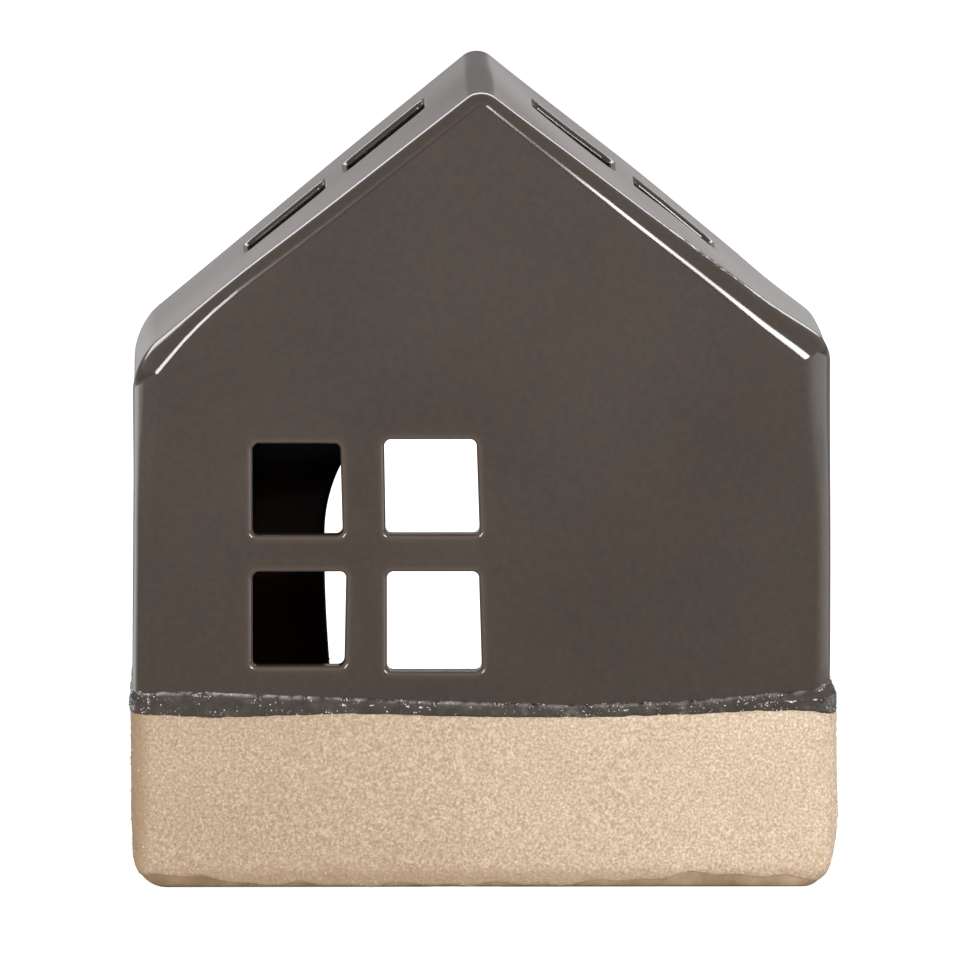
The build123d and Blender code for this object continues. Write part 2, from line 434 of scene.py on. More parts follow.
def sand_marks(x, y, z):
    """Where loose grains stand on the sand slip: hardly any at its toasted left end."""
    low = lap_heights(x, y)[0]
    far, near = grains_below_lap
    clear = (1 - ease(z, low - far, low - near)) * ease(z, *grains_above_table)
    clear = clear * mix(toasted_share, 1.0, ease(x, *toasted_end))
    return ease(outside(x, y, z), *sand_face) * ease(z - worn_edge(x, y), *grains_above_worn) * clear


def lap_marks(x, y, z):
    """Where grains show in the lap: along its upper and its lower edge, in clusters."""
    low, high = lap_heights(x, y)
    turned = x + 0.7 * z, y + 0.4 * x, z - 0.7 * x
    clusters = ease(lumps(*turned, cluster_size, sand_lattice), *cluster_limits)
    upper = bell(z, high - upper_line, upper_width)
    lower = lower_line_share * bell(z, low + lower_line, lower_width)
    return (upper + lower + elsewhere_share) * clusters * ease(outside(x, y, z), *lap_face)


slope_step, press_limit, least_steepness, field_range = 0.04, 0.3, 0.3, 4.0
split_turn, split_length, outer_depth = radians(7), 0.3, 2.0


def slopes_at(field, points):
    """The field's value and its slope in each direction at points."""
    slopes = []
    for axis in range(3):
        step = np.zeros(3)
        step[axis] = slope_step
        ahead, behind = field(*(points + step).T), field(*(points - step).T)
        slopes.append((ahead - behind) / (2 * slope_step))
    return field(*points.T), np.stack(slopes, 1)


def field_mesh(name, field, low, high, step, most, rounds=0):
    """A closed mesh of a field's surface inside a box, thinned to at most so many triangles.

    Each round then adds points where the surface turns sharply.
    """
    axes = [np.arange(a - 3 * step, b + 4 * step, step, dtype=np.float32) for a, b in zip(low, high)]
    x, y, z = np.meshgrid(*axes, indexing="ij", sparse=True)
    values = np.clip(field(x, y, z), -field_range, field_range).astype(np.float32)
    grid = openvdb.FloatGrid(field_range)
    grid.copyFromArray(values)
    points, triangles, quads = grid.convertToPolygons(isovalue=0.0, adaptivity=0.0)
    points = points * step + np.array([axis[0] for axis in axes])
    faces = [tuple(face) for face in quads] + [tuple(face) for face in triangles]
    piece = new_piece(name, points * mm, faces)
    count = 2 * len(quads) + len(triangles)
    if count > most:
        thin = piece.modifiers.new("thin", "DECIMATE")
        thin.ratio = most / count
        bake(piece)
    press(piece, field)
    for _ in range(rounds):
        refine(piece, field)
        press(piece, field)
    smooth(piece, field)
    return piece


def new_piece(name, points, faces):
    """A smooth piece from its points and faces, in metres."""
    mesh = bpy.data.meshes.new(name)
    mesh.from_pydata(points, [], faces)
    mesh.polygons.foreach_set("use_smooth", np.ones(len(mesh.polygons), bool))
    piece = bpy.data.objects.new(name, mesh)
    bpy.context.scene.collection.objects.link(piece)
    return piece


def bake(piece):
    """Turns a piece's modifiers into its plain mesh."""
    depsgraph = bpy.context.evaluated_depsgraph_get()
    made = bpy.data.meshes.new_from_object(piece.evaluated_get(depsgraph))
    piece.modifiers.clear()
    old = piece.data
    piece.data = made
    bpy.data.meshes.remove(old)
    made.name = piece.name


def mesh_points(mesh):
    """The places of a mesh's points, in millimetres."""
    points = np.zeros(len(mesh.vertices) * 3)
    mesh.vertices.foreach_get("co", points)
    return points.reshape(-1, 3) / mm


def press(piece, field):
    """Moves each point of a piece onto the field's surface."""
    points = mesh_points(piece.data)
    value, slopes = slopes_at(field, points)
    steep = np.maximum((slopes ** 2).sum(1), least_steepness)
    points -= np.clip(value / steep, -press_limit, press_limit)[:, None] * slopes
    piece.data.vertices.foreach_set("co", (points * mm).ravel())
    piece.data.update()


def normals_at(field, points):
    """The directions in which a field's surface faces at points."""
    slopes = slopes_at(field, points)[1]
    return slopes / np.maximum(np.linalg.norm(slopes, axis=1), 1e-6)[:, None]


def refine(piece, field):
    """Splits the longer outer edges along which the surface turns sharply."""
    mesh = piece.data
    points = mesh_points(mesh)
    normals = normals_at(field, points)
    ends = np.zeros(2 * len(mesh.edges), np.int32)
    mesh.edges.foreach_get("vertices", ends)
    a, b = ends.reshape(-1, 2).T
    picked = (normals[a] * normals[b]).sum(1) < cos(split_turn)
    picked &= np.linalg.norm(points[a] - points[b], axis=1) > split_length
    picked &= outside(*points[a].T) > -outer_depth
    shape = bmesh.new()
    shape.from_mesh(mesh)
    shape.edges.ensure_lookup_table()
    edges = [shape.edges[index] for index in np.nonzero(picked)[0]]
    bmesh.ops.subdivide_edges(shape, edges=edges, cuts=1)
    bmesh.ops.triangulate(shape, faces=[face for face in shape.faces if len(face.verts) > 3])
    shape.to_mesh(mesh)
    shape.free()


def smooth(piece, field):
    """Gives each point of a piece the field's own direction, for smooth shading."""
    mesh = piece.data
    normals = normals_at(field, mesh_points(mesh))
    flat = np.zeros(len(mesh.polygons) * 3)
    mesh.polygons.foreach_get("normal", flat)
    firsts = np.array([face.vertices[0] for face in mesh.polygons])
    if (flat.reshape(-1, 3) * normals[firsts]).sum() < 0:
        mesh.flip_normals()
    mesh.polygons.foreach_set("use_smooth", np.ones(len(mesh.polygons), bool))
    mesh.normals_split_custom_set_from_vertices(normals)


def mark(piece, name, marks):
    """Stores a value from 0 to 1 at each point of a piece, worked out from its place."""
    values = marks(*mesh_points(piece.data).T)
    layer = piece.data.attributes.new(name, "FLOAT", "POINT")
    layer.data.foreach_set("value", np.asarray(values, np.float32))


def node(tree, kind, sockets=None, **settings):
    """Adds a node, with its settings and its sockets' values or links."""
    made = tree.nodes.new(kind)
    for name, value in settings.items():
        setattr(made, name, value)
    for name, value in (sockets or {}).items():
        if isinstance(value, bpy.types.NodeSocket):
            tree.links.new(value, made.inputs[name])
        else:
            made.inputs[name].default_value = value
    return made


def maths(tree, operation, a, b=0.0):
    """One sum on two values or links."""
    return node(tree, "ShaderNodeMath", {0: a, 1: b}, operation=operation).outputs[0]


def new_material(name):
    """An empty material with its tree, shader and object coordinates."""
    material = bpy.data.materials.new(name)
    material.use_nodes = True
    tree = material.node_tree
    shader = tree.nodes["Principled BSDF"]
    place = tree.nodes.new("ShaderNodeTexCoord").outputs["Object"]
    return material, tree, shader, place


def set_finish(shader, **values):
    """Sets constants on a shader's own sockets, named with underscores for spaces."""
    for name, value in values.items():
        shader.inputs[name.replace("_", " ")].default_value = value


def noise(tree, place, scale, detail=2.0, roughness=0.5):
    """Noise of a scale in cells per metre."""
    sockets = {"Vector": place, "Scale": scale, "Detail": detail, "Roughness": roughness}
    return node(tree, "ShaderNodeTexNoise", sockets).outputs["Fac"]


def band(tree, value, low, high, start=0.0, end=1.0):
    """A value brought smoothly from one range to another and held there."""
    sockets = {"Value": value, "From Min": low, "From Max": high, "To Min": start, "To Max": end}
    return node(tree, "ShaderNodeMapRange", sockets, interpolation_type="SMOOTHSTEP").outputs["Result"]


def ramp(tree, value, stops):
    """A colour or grey ramp from stops of (place, colour)."""
    made = node(tree, "ShaderNodeValToRGB", {"Fac": value})
    elements = made.color_ramp.elements
    while len(elements) < len(stops):
        elements.new(0.5)
    for element, (position, colour) in zip(elements, stops):
        element.position = position
        element.color = (*colour, 1) if isinstance(colour, tuple) else (colour, colour, colour, 1)
    return made.outputs["Color"]


def blend(tree, kind, share, a, b):
    """Mixes two colours by a share, which may be a value or a link."""
    made = tree.nodes.new("ShaderNodeMix")
    made.data_type = "RGBA"
    made.blend_type = kind
    made.clamp_factor = True
    for index, value in ((0, share), (6, a), (7, b)):
        if isinstance(value, bpy.types.NodeSocket):
            tree.links.new(value, made.inputs[index])
        else:
            made.inputs[index].default_value = value if index == 0 else (*value, 1)
    return made.outputs[2]


def bump(tree, height, depth, before=None):
    """A bump of a depth in metres, on top of an earlier one."""
    sockets = {"Height": height, "Distance": depth, "Strength": 1.0}
    if before is not None:
        sockets["Normal"] = before
    return node(tree, "ShaderNodeBump", sockets).outputs["Normal"]


def marks_of(tree, name):
    """A piece's stored marks, as a value."""
    return node(tree, "ShaderNodeAttribute", attribute_name=name).outputs["Fac"]


def belt(tree, value, start, end, most=1.0):
    """A value that rises smoothly over one range and falls again over another."""
    rise, fall = (band(tree, value, *limits, 0.0, most) for limits in (start, end))
    return maths(tree, "MINIMUM", rise, fall)


def darker_left(tree, colour, across, reach, tint):
    """A colour darkened by a tint at the left of a reach in metres, and plain at its right."""
    tints = ramp(tree, band(tree, across, *reach), [(0.0, tint), (1.0, 1.0)])
    return blend(tree, "MULTIPLY", 1.0, colour, tints)


# Stops of the colour ramps: place in the noise, then the colour
glaze_stops = [(0.3, (0.0325, 0.0222, 0.0150)), (0.7, (0.0393, 0.0270, 0.0186))]
fleck_stops = [(0.35, 0.7), (0.62, 1.0)]
lap_stops = [(0.35, (0.028, 0.0215, 0.016)), (0.6, (0.043, 0.033, 0.025)), (0.75, (0.10, 0.08, 0.064))]
sand_stops = [(0.32, (0.42, 0.317, 0.225)), (0.46, (0.535, 0.418, 0.306)),
              (0.57, (0.635, 0.508, 0.382)), (0.68, (0.77, 0.655, 0.53))]
cloud_stops = [(0.3, (0.90, 0.88, 0.85)), (0.7, (1.0, 1.0, 1.0))]
quartz_stops = [(0.35, (0.40, 0.30, 0.21)), (0.5, (0.50, 0.39, 0.285)), (0.65, (0.62, 0.51, 0.39))]
sparkle_stops = [(0.4, (0.12, 0.11, 0.105)), (0.62, (0.62, 0.6, 0.58))]
clay_stops = [(0.3, (0.20, 0.14, 0.080)), (0.7, (0.36, 0.255, 0.162))]
wax_stops = [(0.3, (0.78, 0.75, 0.68)), (0.7, (0.86, 0.84, 0.78))]
cotton_stops = [(0.35, (0.55, 0.50, 0.42)), (0.65, (0.80, 0.77, 0.70))]

# Single colours and tints
# The second colour on the next line is painted shade: the near-black of the glaze inside the walls and
# vents.
warm_rim, painted_shade_black = (0.125, 0.088, 0.066), (0.0065, 0.0030, 0.0016)
# The pleats' grey on the next line is painted shade in the cup's pleats.
frost_white, toast_brown, pleat_shade_grey = (0.34, 0.31, 0.29), (0.28, 0.185, 0.112), (0.22, 0.22, 0.225)
foil_colour, tin_colour = (0.86, 0.86, 0.87), (0.72, 0.71, 0.69)
# The first tint on the next line is painted shade: the sand darker towards the left, where less light
# falls.
sand_left_shade, clay_left_tint = (0.72, 0.69, 0.66), (0.80, 0.75, 0.76)

# How strongly the flecks, the warm rims, the sand's clouds and the pleats' painted shade show, how dark
# the spots of the foil are, and in which clouds of the lap the frost shows
fleck_share, warm_share, cloud_share, pleat_shade_share = 0.5, 0.55, 0.8, 0.7
foil_shade, frost_clouds = 0.94, (0.42, 0.6)

# Where these tints and the toasted sand begin and end, in metres, and how strong the toast is
sand_tint_reach, clay_tint_reach = (-0.055, 0.06), (-0.04, 0.03)
toast_x, toast_y, toast_z = (-0.0508, -0.0535), (-0.018, -0.028), (0.0042, 0.0012)
toast_share, foot_toast_share = 0.72, 0.8

# Depths of the bumps, in metres
peel_depth, rub_depth, lap_depth = 0.000007, 0.0003, 0.00008
sand_depth, clay_depth = 0.00025, 0.0001
foil_depth, wax_depth, cotton_depth = 0.00002, 0.00005, 0.00008

# Glaze seen as a clear coat over its colour, how strong the coat is where plain and where darkened by
# painted shade, above which mean mark of painted shade a face takes the duller coat, and how the rubbed
# streaks are drawn out along the slope
glaze_gloss = {"Specular_IOR_Level": 0.0, "Coat_IOR": 1.8}
plain_coat, painted_shaded_coat, painted_shaded_limit = 0.45, 0.03, 0.6
streak_scale = (0.08, 1, 1)


def glaze_material(name, coat):
    """Glossy taupe-grey glaze: cloudy, warmer at the rims, darkened inside by painted shade."""
    material, tree, shader, place = new_material(name)
    clouds = noise(tree, place, scale=38, detail=3)
    flecks = noise(tree, place, scale=1100, detail=3)
    colour = ramp(tree, clouds, glaze_stops)
    colour = blend(tree, "MULTIPLY", fleck_share, colour, ramp(tree, flecks, fleck_stops))
    warm = maths(tree, "MULTIPLY", marks_of(tree, "rim"), warm_share)
    colour = blend(tree, "MIX", warm, colour, warm_rim)
    # Painted shade: the glaze goes near black inside the walls and the roof vents.
    colour = blend(tree, "MIX", marks_of(tree, "painted_shade"), colour, painted_shade_black)
    tree.links.new(colour, shader.inputs["Base Color"])
    set_finish(shader, Roughness=0.5, Coat_Weight=coat, Coat_Roughness=0.11, **glaze_gloss)
    peel = bump(tree, noise(tree, place, scale=160, detail=0), peel_depth)
    turned = {"Vector": place, "Rotation": (0, slope_angle, 0), "Scale": streak_scale}
    streaks = noise(tree, node(tree, "ShaderNodeMapping", turned).outputs[0], scale=1100, detail=1)
    peel = bump(tree, maths(tree, "MULTIPLY", streaks, marks_of(tree, "scuff")), rub_depth, peel)
    tree.links.new(peel, shader.inputs["Normal"])
    tree.links.new(peel, shader.inputs["Coat Normal"])
    return material


def lap_material():
    """The thick glaze edge: darker, a little frosted by the sand under it."""
    material, tree, shader, place = new_material("lap_glaze")
    clouds = noise(tree, place, scale=500, detail=4)
    frost = maths(tree, "MULTIPLY", marks_of(tree, "frost"), band(tree, clouds, *frost_clouds))
    colour = blend(tree, "MIX", frost, ramp(tree, clouds, lap_stops), frost_white)
    tree.links.new(colour, shader.inputs["Base Color"])
    set_finish(shader, Roughness=0.45, Coat_Weight=plain_coat, Coat_Roughness=0.1, **glaze_gloss)
    rough = bump(tree, noise(tree, place, scale=1300, detail=3), lap_depth)
    tree.links.new(rough, shader.inputs["Normal"])
    tree.links.new(rough, shader.inputs["Coat Normal"])
    return material


def sand_material():
    """Dry beige sand slip, darker towards the left as painted shade, toasted brown at the left front
    corner and near the worn foot.
    """
    material, tree, shader, place = new_material("sand_slip")
    grains = noise(tree, place, scale=2300, detail=3, roughness=0.6)
    cloudy = ramp(tree, noise(tree, place, scale=70, detail=4), cloud_stops)
    colour = blend(tree, "MULTIPLY", cloud_share, ramp(tree, grains, sand_stops), cloudy)
    axes = node(tree, "ShaderNodeSeparateXYZ", {0: place}).outputs
    # Painted shade: the sand darkened towards the left.
    colour = darker_left(tree, colour, axes["X"], sand_tint_reach, sand_left_shade)
    corner = maths(tree, "MULTIPLY", band(tree, axes["X"], *toast_x), band(tree, axes["Y"], *toast_y))
    foot = maths(tree, "MULTIPLY", band(tree, axes["Z"], *toast_z), foot_toast_share)
    toast = maths(tree, "MULTIPLY", maths(tree, "MAXIMUM", corner, foot), toast_share)
    colour = blend(tree, "MIX", toast, colour, toast_brown)
    tree.links.new(colour, shader.inputs["Base Color"])
    set_finish(shader, Roughness=0.85, Specular_IOR_Level=0.2)
    tree.links.new(bump(tree, grains, sand_depth), shader.inputs["Normal"])
    return material


def grain_material(name, stops, dullness):
    """The loose grains: pale quartz, some clear, some stained."""
    material, tree, shader, place = new_material(name)
    cells = noise(tree, place, scale=900, detail=1)
    tree.links.new(ramp(tree, cells, stops), shader.inputs["Base Color"])
    set_finish(shader, Roughness=dullness, Specular_IOR_Level=0.5)
    return material


def clay_material():
    """Bare fired clay, toasted brown."""
    material, tree, shader, place = new_material("bare_clay")
    colour = ramp(tree, noise(tree, place, scale=240, detail=4), clay_stops)
    axes = node(tree, "ShaderNodeSeparateXYZ", {0: place}).outputs
    colour = darker_left(tree, colour, axes["X"], clay_tint_reach, clay_left_tint)
    tree.links.new(colour, shader.inputs["Base Color"])
    set_finish(shader, Roughness=0.8, Specular_IOR_Level=0.2)
    grain = bump(tree, noise(tree, place, scale=1500, detail=3), clay_depth)
    tree.links.new(grain, shader.inputs["Normal"])
    return material


def finish_piece(piece, material, body, slot, *nodes):
    """Gives a piece its material and its body, and hides the nodes it stands for; its finish slot is
    not used.
    """
    piece.data.materials.clear()
    piece.data.materials.append(material)
    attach(piece, body)
    if nodes:
        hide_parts(*nodes)


def new_tree(name, inputs):
    """An empty Geometry Nodes tree with named inputs, and its first and last node."""
    tree = bpy.data.node_groups.new(name, "GeometryNodeTree")
    tree.interface.new_socket("Geometry", in_out="INPUT", socket_type="NodeSocketGeometry")
    for label, kind in inputs.items():
        tree.interface.new_socket(label, in_out="INPUT", socket_type="NodeSocket" + kind)
    tree.interface.new_socket("Geometry", in_out="OUTPUT", socket_type="NodeSocketGeometry")
    return tree, tree.nodes.new("NodeGroupInput").outputs, tree.nodes.new("NodeGroupOutput").inputs


def grow_nodes(piece, tree, values):
    """Runs a Geometry Nodes tree on a piece and keeps the plain mesh."""
    modifier = piece.modifiers.new(tree.name, "NODES")
    modifier.node_group = tree
    for item in tree.interface.items_tree:
        if item.in_out == "INPUT" and item.name in values:
            modifier[item.identifier] = values[item.name]
    bake(piece)


def end_tree(tree, geometry, given, result):
    """Ends a Geometry Nodes tree with its geometry in the given material."""
    sockets = {"Geometry": geometry, "Material": given["Finish"]}
    finished = node(tree, "GeometryNodeSetMaterial", sockets).outputs["Geometry"]
    tree.links.new(finished, result["Geometry"])
    return tree


def strewing_tree():
    """Strews faceted grains over a surface, as thickly as its marks say."""
    inputs = {"Grains": "Float", "Smallest": "Float", "Largest": "Float", "Seed": "Int",
              "Finish": "Material"}
    tree, given, result = new_tree("strewn_grains", inputs)
    marks = node(tree, "GeometryNodeInputNamedAttribute", {"Name": "strewn"}, data_type="FLOAT")
    density = maths(tree, "MULTIPLY", given["Grains"], marks.outputs["Attribute"])
    sockets = {"Mesh": given["Geometry"], "Density": density, "Seed": given["Seed"]}
    points = node(tree, "GeometryNodeDistributePointsOnFaces", sockets).outputs["Points"]
    grain = node(tree, "GeometryNodeMeshIcoSphere", {"Radius": 1.0, "Subdivisions": 1}).outputs["Mesh"]
    sockets = {2: given["Smallest"], 3: given["Largest"], "Seed": grain_size_seed}
    size = node(tree, "FunctionNodeRandomValue", sockets, data_type="FLOAT").outputs[1]
    sockets = {1: (2 * pi, 2 * pi, 2 * pi), "Seed": grain_turn_seed}
    turn = node(tree, "FunctionNodeRandomValue", sockets, data_type="FLOAT_VECTOR").outputs[0]
    sockets = {"Points": points, "Instance": grain, "Rotation": turn, "Scale": size}
    placed = node(tree, "GeometryNodeInstanceOnPoints", sockets).outputs["Instances"]
    real = node(tree, "GeometryNodeRealizeInstances", {"Geometry": placed}).outputs["Geometry"]
    return end_tree(tree, real, given, result)


def strew(name, base, marks, material, values):
    """A piece of loose grains on another piece's surface."""
    piece = base.copy()
    piece.data = base.data.copy()
    piece.name = name
    bpy.context.scene.collection.objects.link(piece)
    mark(piece, "strewn", marks)
    grow_nodes(piece, bpy.data.node_groups["strewn_grains"], {"Finish": material, **values})
    piece.data.polygons.foreach_set("use_smooth", np.zeros(len(piece.data.polygons), bool))
    return piece


def painted_shade_inside(mesh, material):
    """Gives the faces darkened by painted shade their duller finish."""
    mesh.materials.append(material)
    painted_shade = np.zeros(len(mesh.vertices), np.float32)
    mesh.attributes["painted_shade"].data.foreach_get("value", painted_shade)
    painted_shaded = [int(painted_shade[list(face.vertices)].mean() > painted_shaded_limit) for face in mesh.polygons]
    mesh.polygons.foreach_set("material_index", painted_shaded)


# Meshing of each ceramic piece: its step, its most triangles and the house's rounds of splitting,
# how far a field's box goes beyond its piece, and the heights that hold the lap and the lower walls
house_fineness, lap_fineness = (0.45, 100000, 3), (0.33, 120000)
sand_fineness, clay_fineness = (0.42, 190000), (0.8, 60000)
box_margin, lap_span, lower_span = 1, (25, 34.5), (0, 30)

# Loose grains on the sand and in the lap: the most in a square metre, their radii in metres and
# their seed, then the seeds of their sizes and turns
sand_strewn = {"Grains": 0.6e6, "Smallest": 0.08 * mm, "Largest": 0.2 * mm, "Seed": 3}
lap_strewn = {"Grains": 5.2e6, "Smallest": 0.04 * mm, "Largest": 0.15 * mm, "Seed": 8}
grain_size_seed, grain_turn_seed = 5, 6


def make_house():
    """The ceramic: glazed house, its lap, the sand slip, loose grains and the bare clay."""
    low, high = sand_low.copy(), glaze_high.copy()
    low[2] = 0
    house_piece = field_mesh("house_glaze", glazed_house, low, high, *house_fineness)
    # Marks where the glaze inside is darkened as painted shade.
    mark(house_piece, "painted_shade", painted_shade_marks)
    mark(house_piece, "rim", rim_marks)
    mark(house_piece, "scuff", scuff_marks)
    glaze = glaze_material("taupe_glaze", plain_coat)
    finish_piece(house_piece, glaze, "house", "glaze", "grey_glaze")
    painted_shade_inside(house_piece.data, glaze_material("painted_shaded_glaze", painted_shaded_coat))

    reach_x, reach_y = box_margin - low[0], box_margin - low[1]
    lap_box, lower_box = (
        ((-reach_x, -reach_y, bottom), (reach_x, reach_y, top))
        for bottom, top in (lap_span, lower_span)
    )
    lap = field_mesh("glaze_lap", glaze_lap, *lap_box, *lap_fineness)
    mark(lap, "frost", frost_marks)
    sand = field_mesh("sand_slip", sand_slip, *lower_box, *sand_fineness)
    clay = field_mesh("bare_clay", bare_clay, *lower_box, *clay_fineness)

    strewing_tree()
    quartz = grain_material("quartz_grains", quartz_stops, dullness=0.85)
    grains = strew("sand_grains", sand, sand_marks, quartz, sand_strewn)
    frost = grain_material("glazed_grains", sparkle_stops, dullness=0.35)
    sparkles = strew("lap_grains", lap, lap_marks, frost, lap_strewn)

    finish_piece(lap, lap_material(), "house", "glaze")
    finish_piece(sparkles, frost, "house", "glaze")
    finish_piece(sand, sand_material(), "house", "sand", "sand_coat")
    finish_piece(grains, quartz, "house", "sand")
    finish_piece(clay, clay_material(), "house", "stoneware", "stoneware_body")


# Tealight: its cup of thin foil, the wax and the wick, from the frame
cup_low, cup_high = (np.array(corner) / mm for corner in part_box("tealight_cup"))
wax_low, wax_high = (np.array(corner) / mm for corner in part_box("tealight_wax"))
wick_low, wick_high = (np.array(corner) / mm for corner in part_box("tealight_wick"))
tin_low, tin_high = (np.array(corner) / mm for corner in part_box("wick_sustainer"))
cup_middle = (0, (cup_low[1] + cup_high[1]) / 2)

# Cup: how far its rim stands out, the roll's radius, the foil's thickness, and the raised bottom:
# its height, where it ends and where the foot's ring begins
cup_rim_reach, cup_roll, cup_foil = 0.55, 0.5, 0.22
raised_height, raised_end, ring_start = 0.25, 10.5, 11.2

# Cup's side: the foot's rounding, heights of the shoulder above it, where the straight side
# begins, how much shorter than the cup it is, and its rows of points
foot_rounding, shoulder_low, shoulder_high = 0.8, 1.6, 2.3
side_start, side_lack, side_rows = 2.6, 4.4, 8

# Pleats: count and depth, points in each, where they begin above the foot and end below the rim,
# over which share of that they fade, from where to where in metres from the middle they set in,
# and how far inside the side their painted shade begins and is full
cup_pleat_count, cup_pleat_depth, pleat_points = 28, 0.35, 8
pleat_low, pleat_lack, pleat_fade = 2.0, 1.4, 0.12
pleat_start, pleat_shade_start, pleat_shade_full = (0.0176, 0.0181), 1.2, 0.8

# Wax: cut at its foot, rounding of its top edge, then its surface as pairs of a place and how far
# it lies below the top: inwards from the edge, outwards from the middle, and beside the wick
wax_cut, wax_rounding, wax_points = 0.5, 0.35, 96
wax_edge = ((1.2, 0.12), (3.0, 0.2))
wax_dimple = ((9.0, 0.22), (5.0, 0.35), (3.0, 0.55), (1.9, 0.6), (1.3, 0.45))
wax_beside_wick = ((0.08, 0.2), (0, 0.25))

# Tin foot: its thickness, the gap round it and the radius of its collar
tin_thickness, tin_gap, collar_radius = 0.35, 0.06, 1.25

# Wick: radius, lean, where it bends between the wax and its tip, how far below that and beyond
# the tip the bend reaches, its strands and their turn in a millimetre, core, strand and end as
# shares of the radius, and its points around and along
wick_radius, wick_lean, wick_bend_share = 0.85, 1.3, 0.45
bend_below, bend_beyond = 1.5, 0.8
wick_strands, wick_turn = 3, 1.9
core_share, strand_share, end_share = 0.68, 0.27, 0.55
wick_around, wick_along = 18, 72


def revolved(name, profile, count, closed):
    """A form turned round the upright axis from (radius, height) points, in millimetres."""
    points, rings = [], []
    for radius, height in profile:
        if radius == 0:
            rings.append([len(points)] * count)
            points.append((0, 0, height * mm))
            continue
        rings.append([len(points) + n for n in range(count)])
        for n in range(count):
            angle = 2 * pi * n / count
            points.append((radius * cos(angle) * mm, radius * sin(angle) * mm, height * mm))
    faces = []
    pairs = list(zip(rings, rings[1:])) + ([(rings[-1], rings[0])] if closed else [])
    for lower, upper in pairs:
        for n in range(count):
            corners = [lower[n], lower[(n + 1) % count], upper[(n + 1) % count], upper[n]]
            faces.append(tuple(dict.fromkeys(corners)))
    return new_piece(name, points, faces)


def arc_points(middle, radius, start, end, count):
    """Points on an arc of a profile, angles in degrees."""
    angles = [radians(start + (end - start) * n / (count - 1)) for n in range(count)]
    return [(middle[0] + radius * cos(a), middle[1] + radius * sin(a)) for a in angles]


def pleat_tree():
    """Presses even pleats into the upright side of a cup."""
    inputs = {"Pleat Count": "Float", "Pleat Depth": "Float", "Side Low": "Float",
              "Side High": "Float", "Finish": "Material"}
    tree, given, result = new_tree("pressed_pleats", inputs)
    place = node(tree, "GeometryNodeInputPosition").outputs["Position"]
    axes = node(tree, "ShaderNodeSeparateXYZ", {0: place}).outputs
    turn = maths(tree, "MULTIPLY", maths(tree, "ARCTAN2", axes["Y"], axes["X"]), given["Pleat Count"])
    pressed = maths(tree, "MULTIPLY", maths(tree, "SUBTRACT", maths(tree, "COSINE", turn), 1.0), 0.5)
    height = maths(tree, "SUBTRACT", given["Side High"], given["Side Low"])
    fade = maths(tree, "MULTIPLY", height, pleat_fade)
    rise = maths(tree, "DIVIDE", maths(tree, "SUBTRACT", axes["Z"], given["Side Low"]), fade)
    fall = maths(tree, "DIVIDE", maths(tree, "SUBTRACT", given["Side High"], axes["Z"]), fade)
    held = node(tree, "ShaderNodeClamp", {"Value": maths(tree, "MINIMUM", rise, fall)}).outputs[0]
    out = node(tree, "ShaderNodeCombineXYZ", {"X": axes["X"], "Y": axes["Y"]}).outputs[0]
    far = node(tree, "ShaderNodeVectorMath", {0: out}, operation="LENGTH").outputs["Value"]
    side = band(tree, far, *pleat_start)
    depth = maths(tree, "MULTIPLY", maths(tree, "MULTIPLY", pressed, held), given["Pleat Depth"])
    out = node(tree, "ShaderNodeVectorMath", {0: out}, operation="NORMALIZE").outputs["Vector"]
    sockets = {0: out, "Scale": maths(tree, "MULTIPLY", depth, side)}
    offset = node(tree, "ShaderNodeVectorMath", sockets, operation="SCALE").outputs["Vector"]
    sockets = {"Geometry": given["Geometry"], "Offset": offset}
    moved = node(tree, "GeometryNodeSetPosition", sockets).outputs["Geometry"]
    return end_tree(tree, moved, given, result)


def shift(piece, x, y, z):
    """Moves a piece's mesh to its place, in millimetres."""
    piece.data.transform(Matrix.Translation((x * mm, y * mm, z * mm)))


def pleat_shade_marks(x, y, z):
    """How deep in a pleat of the cup's side a point lies, for painted shade that darkens the pleats."""
    far = np.hypot(x - cup_middle[0], y - cup_middle[1])
    radius = cup_high[0] - cup_rim_reach
    return ease(radius - far, 0.0, cup_pleat_depth) * ease(far, radius - pleat_shade_start, radius - pleat_shade_full)


def foil_material(name, colour, roughness, streaks):
    """Thin pressed metal: soft mottled sheen with fine drawing marks, and painted shade in its pleats.
    """
    material, tree, shader, place = new_material(name)
    spots = noise(tree, place, scale=420, detail=3)
    dark = tuple(foil_shade * part for part in colour)
    mottled = ramp(tree, spots, [(0.35, dark), (0.65, colour)])
    # Painted shade: the pleats' valleys darkened to grey.
    deep = maths(tree, "MULTIPLY", marks_of(tree, "pleat"), pleat_shade_share)
    tree.links.new(blend(tree, "MIX", deep, mottled, pleat_shade_grey), shader.inputs["Base Color"])
    dull = band(tree, spots, 0.3, 0.7, roughness, roughness + 0.05)
    tree.links.new(dull, shader.inputs["Roughness"])
    set_finish(shader, Metallic=1.0)
    drawn = node(tree, "ShaderNodeMapping", {"Vector": place, "Scale": (1, 1, streaks)}).outputs[0]
    marks = bump(tree, noise(tree, drawn, scale=1600, detail=2), foil_depth)
    tree.links.new(marks, shader.inputs["Normal"])
    return material


def wax_material():
    """White candle wax: slightly clear, faintly crackled."""
    material, tree, shader, place = new_material("white_wax")
    clouds = noise(tree, place, scale=180, detail=3)
    tree.links.new(ramp(tree, clouds, wax_stops), shader.inputs["Base Color"])
    set_finish(shader, Roughness=0.38, Subsurface_Weight=0.25, Subsurface_Scale=0.004)
    crackle = bump(tree, noise(tree, place, scale=420, detail=3), wax_depth)
    tree.links.new(crackle, shader.inputs["Normal"])
    return material


